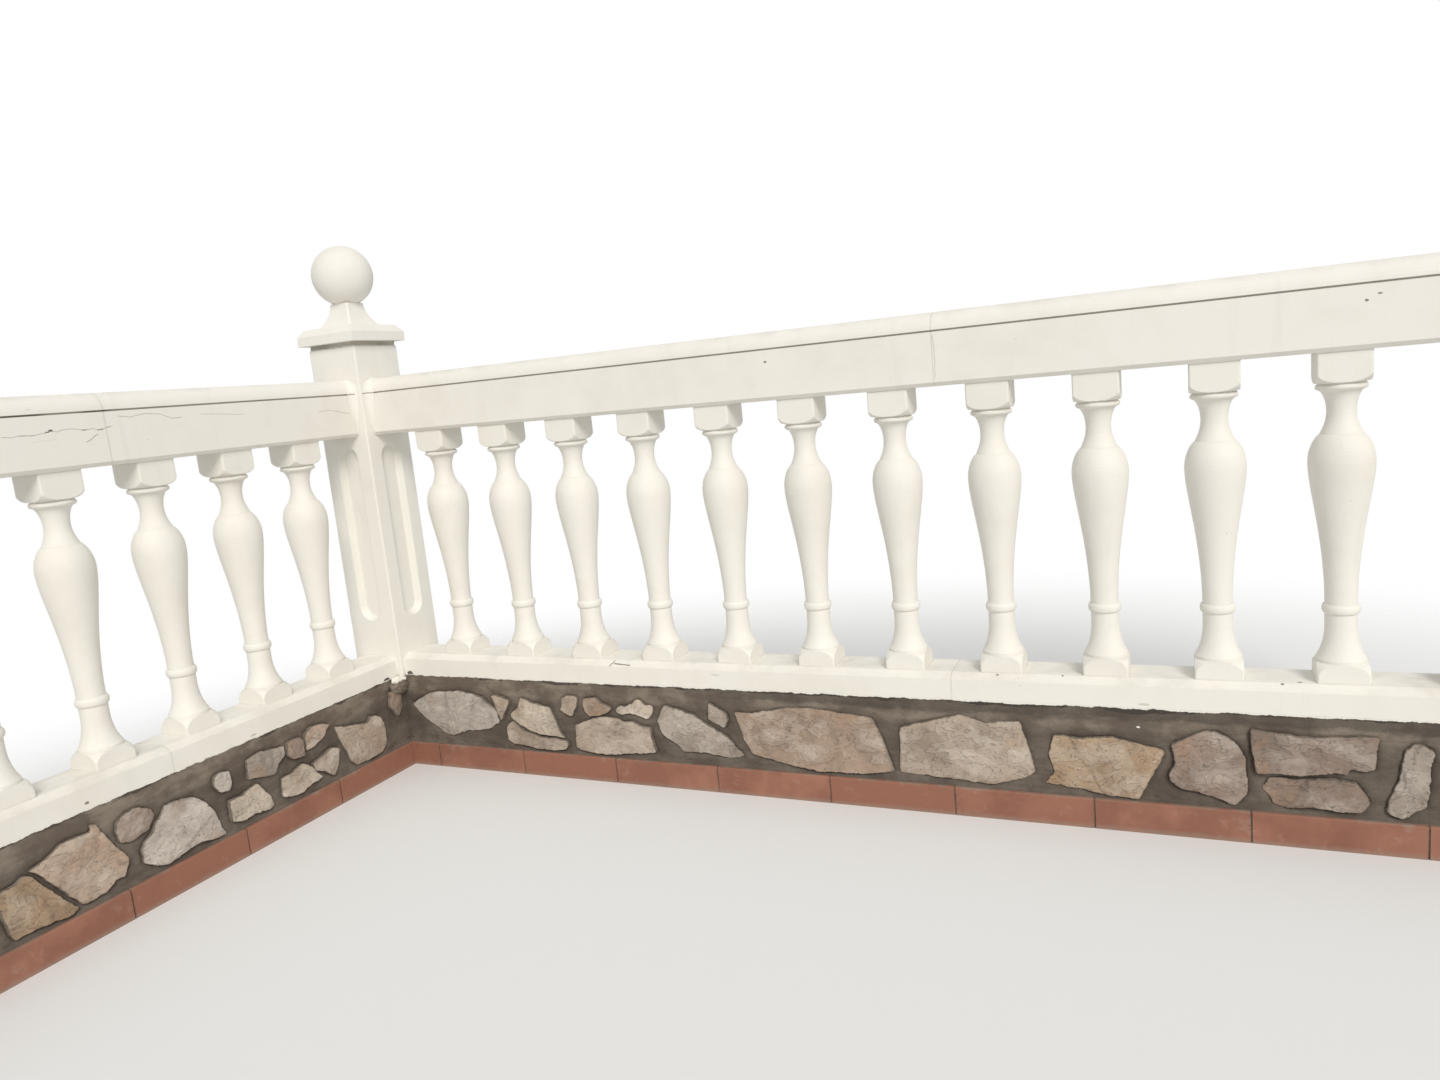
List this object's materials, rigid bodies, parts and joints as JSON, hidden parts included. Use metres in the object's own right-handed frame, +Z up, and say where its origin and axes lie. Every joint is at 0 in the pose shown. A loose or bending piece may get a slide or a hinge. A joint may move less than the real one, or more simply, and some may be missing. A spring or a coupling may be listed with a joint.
{
  "type": "balustrade corner",
  "caption": "Corner of a terrace balustrade: two bays of turned balusters between painted cast stone rails, with square posts, ball finials and a low rubble wall.",
  "frame": {"origin": "plan centre of the corner post, on the ground under the wall", "axes": "+X along the right run, -Y along the left run, +Z up; the terrace is on the side of +X and -Y"},
  "size_m": [3.371, 1.967, 1.6239],
  "materials": {
    "painted_cast_stone": "cast stone under several coats of warm white masonry paint, matt, with hairline cracks",
    "rubble_masonry": "cream, grey and tan field stones in dark cement mortar",
    "bed_mortar": "bare grey-brown cement mortar, struck back and rough, with splashes of the paint",
    "terracotta": "unglazed red-brown terracotta skirting tile, worn and a little dusty"
  },
  "bodies": {
    "root": {"corner_post": "painted_cast_stone", "corner_cap": "painted_cast_stone", "corner_ball": "painted_cast_stone", "corner_cap_bed": "bed_mortar", "right_end_post": "painted_cast_stone", "right_end_cap": "painted_cast_stone", "right_end_ball": "painted_cast_stone", "right_end_cap_bed": "bed_mortar", "left_end_post": "painted_cast_stone", "left_end_cap": "painted_cast_stone", "left_end_ball": "painted_cast_stone", "left_end_cap_bed": "bed_mortar", "right_handrail_near": "painted_cast_stone", "right_handrail_far": "painted_cast_stone", "right_bottom_rail_near": "painted_cast_stone", "right_bottom_rail_far": "painted_cast_stone", "left_handrail_near": "painted_cast_stone", "left_handrail_far": "painted_cast_stone", "left_bottom_rail_near": "painted_cast_stone", "left_bottom_rail_far": "painted_cast_stone", "corner_wall": "rubble_masonry", "right_wall": "rubble_masonry", "left_wall": "rubble_masonry", "right_skirting": "terracotta", "left_skirting": "terracotta", "right_baluster_1": "painted_cast_stone", "right_baluster_2": "painted_cast_stone", "right_baluster_3": "painted_cast_stone", "right_baluster_4": "painted_cast_stone", "right_baluster_5": "painted_cast_stone", "right_baluster_6": "painted_cast_stone", "right_baluster_7": "painted_cast_stone", "right_baluster_8": "painted_cast_stone", "right_baluster_9": "painted_cast_stone", "right_baluster_10": "painted_cast_stone", "right_baluster_11": "painted_cast_stone", "right_baluster_12": "painted_cast_stone", "left_baluster_1": "painted_cast_stone", "left_baluster_2": "painted_cast_stone", "left_baluster_3": "painted_cast_stone", "left_baluster_4": "painted_cast_stone", "left_baluster_5": "painted_cast_stone", "left_baluster_6": "painted_cast_stone"}
  },
  "joints": []
}
